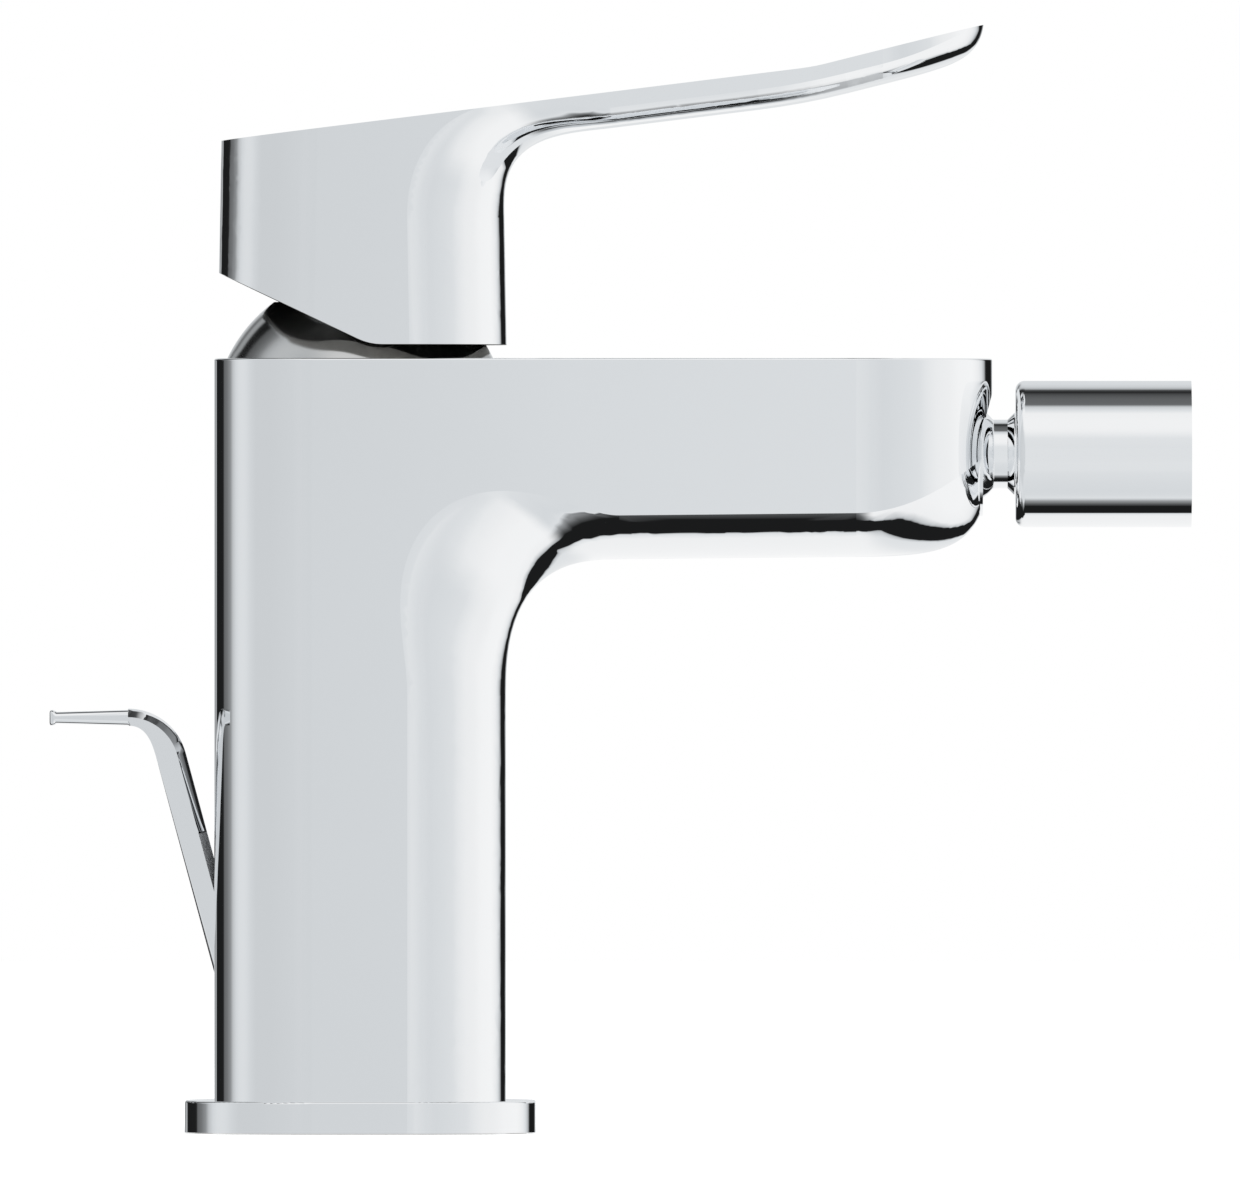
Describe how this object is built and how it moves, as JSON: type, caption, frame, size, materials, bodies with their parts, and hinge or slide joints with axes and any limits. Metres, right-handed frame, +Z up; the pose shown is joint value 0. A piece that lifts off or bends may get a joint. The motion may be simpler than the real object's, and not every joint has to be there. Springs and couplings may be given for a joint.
{
  "type": "bidet mixer",
  "caption": "Chromed lever mixer for a bidet: square column, forward spout, nozzle on a ball joint, and a pull handle for the pop-up waste.",
  "frame": {"origin": "centre of the base plate on the deck face", "axes": "+Z up out of the deck, +X forward along the spout, +Y to the user's right when facing the spout"},
  "size_m": [0.1631, 0.05, 0.158],
  "materials": {
    "chrome": "polished chrome plating",
    "bare_brass": "turned, unplated",
    "steel": "turned stainless steel",
    "ceramic": "lapped alumina ceramic",
    "white_acetal": "moulded acetal",
    "grey_plastic": "moulded plastic",
    "plug_plastic": "glossy grey plastic",
    "black_rubber": "moulded rubber"
  },
  "bodies": {
    "mixer_body": {"base_plate": "chrome", "base_seal": "black_rubber", "body_housing": "chrome", "hot_inlet_bush": "bare_brass", "cold_inlet_bush": "bare_brass", "stud_bush": "bare_brass", "rod_guide": "grey_plastic", "cartridge_base": "white_acetal", "port_seals": "black_rubber", "fixed_disc": "ceramic", "cartridge_housing": "white_acetal", "retaining_nut": "bare_brass", "dome_cap": "chrome", "ball_seal": "black_rubber", "ball_retainer": "chrome"},
    "turning_carrier": {"spindle_carrier": "white_acetal", "pivot_pin": "steel"},
    "sliding_disc": {"moving_disc": "ceramic", "disc_driver": "white_acetal"},
    "lever": {"lever_handle": "chrome", "spindle": "steel", "grub_screw": "steel", "index_plug": "plug_plastic"},
    "waste_pull": {"pull_handle": "chrome", "pull_rod": "steel"},
    "ball_seat": {"ball_seat_ring": "white_acetal"},
    "nozzle": {"swivel_ball": "chrome", "nozzle_shell": "chrome", "nozzle_washer": "black_rubber", "aerator_seal": "black_rubber", "aerator_housing": "grey_plastic", "aerator_screen": "steel"}
  },
  "joints": [
    {"name": "lever_turn", "type": "hinge", "parent": "mixer_body", "child": "turning_carrier", "pos_m": [0, 0, 0.1015], "axis": [0, 0, 1], "range_deg": [-50, 50]},
    {"name": "lever_lift", "type": "hinge", "parent": "turning_carrier", "child": "lever", "pos_m": [0, 0, 0.1015], "axis": [0, -1, 0], "range_deg": [0, 25]},
    {"name": "disc_slide", "type": "slide", "parent": "turning_carrier", "child": "sliding_disc", "axis": [1, 0, 0], "range_m": [0, 0.00347]},
    {"name": "pull_rod_slide", "type": "slide", "parent": "mixer_body", "child": "waste_pull", "axis": [-0.2605, 0, 0.9655], "range_m": [0, 0.02]},
    {"name": "nozzle_turn", "type": "hinge", "parent": "mixer_body", "child": "ball_seat", "pos_m": [0.0843, 0, 0.0968], "axis": [1, 0, 0], "continuous": true},
    {"name": "nozzle_tilt", "type": "hinge", "parent": "ball_seat", "child": "nozzle", "pos_m": [0.0843, 0, 0.0968], "axis": [0, 1, 0], "range_deg": [-15, 15]}
  ],
  "couplings": [
    {"joint": "disc_slide", "follows": "lever_lift", "m_per_rad": 0.00794}
  ]
}
